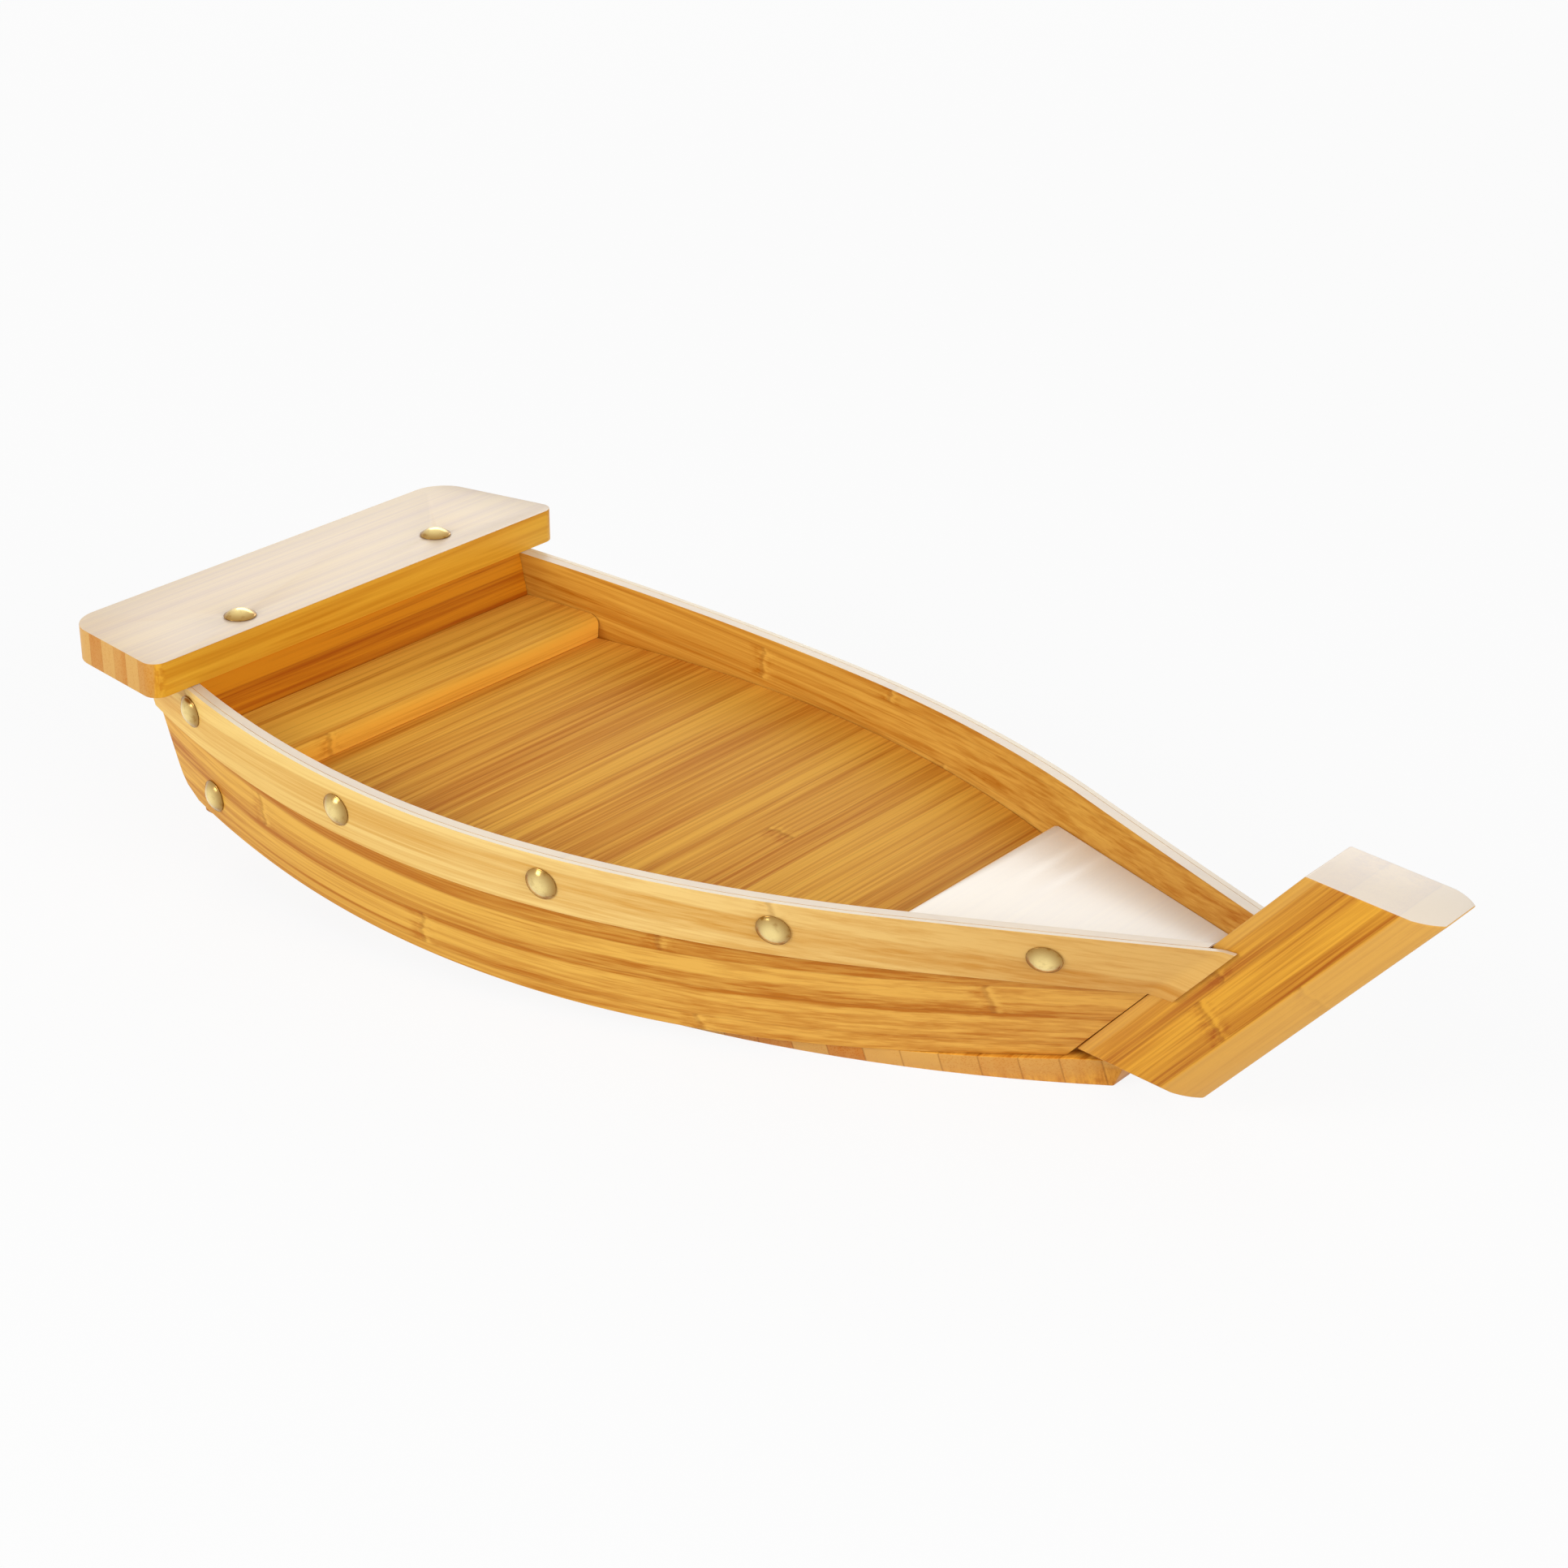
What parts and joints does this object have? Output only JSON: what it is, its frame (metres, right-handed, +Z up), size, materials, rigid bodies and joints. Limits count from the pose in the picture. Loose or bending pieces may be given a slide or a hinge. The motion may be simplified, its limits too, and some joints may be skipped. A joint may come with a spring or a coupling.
{
  "type": "serving boat",
  "caption": "Wooden serving boat with bent side planks, strakes, a raked stem, a transom with a cross bar, raised end decks and domed tacks.",
  "frame": {"origin": "centre of the bounding box, on the table under the base board", "axes": "+X to the bow, +Y to port, +Z up from the table"},
  "size_m": [0.4198, 0.169, 0.0829],
  "materials": {
    "base_wood": "satin, laminated strips",
    "deck_wood": "satin, laminated strips",
    "foredeck_wood": "satin, pale",
    "plank_wood": "satin, streaked grain along the plank",
    "strake_wood": "satin, pale gold grain",
    "transom_wood": "satin, dark streaks",
    "bar_wood": "satin, pale top, tan end grain",
    "stem_wood": "satin, dark streaks and node marks",
    "nail_brass": "polished dome"
  },
  "bodies": {
    "root": {"base_board": "base_wood", "deck_board": "deck_wood", "foredeck_board": "foredeck_wood", "aft_deck_board": "deck_wood", "plank_port": "plank_wood", "plank_starboard": "plank_wood", "strake_port": "strake_wood", "strake_starboard": "strake_wood", "transom": "transom_wood", "stern_bar": "bar_wood", "stem": "stem_wood", "side_tacks": "nail_brass", "transom_nails": "nail_brass", "bar_nails": "nail_brass"}
  },
  "joints": []
}
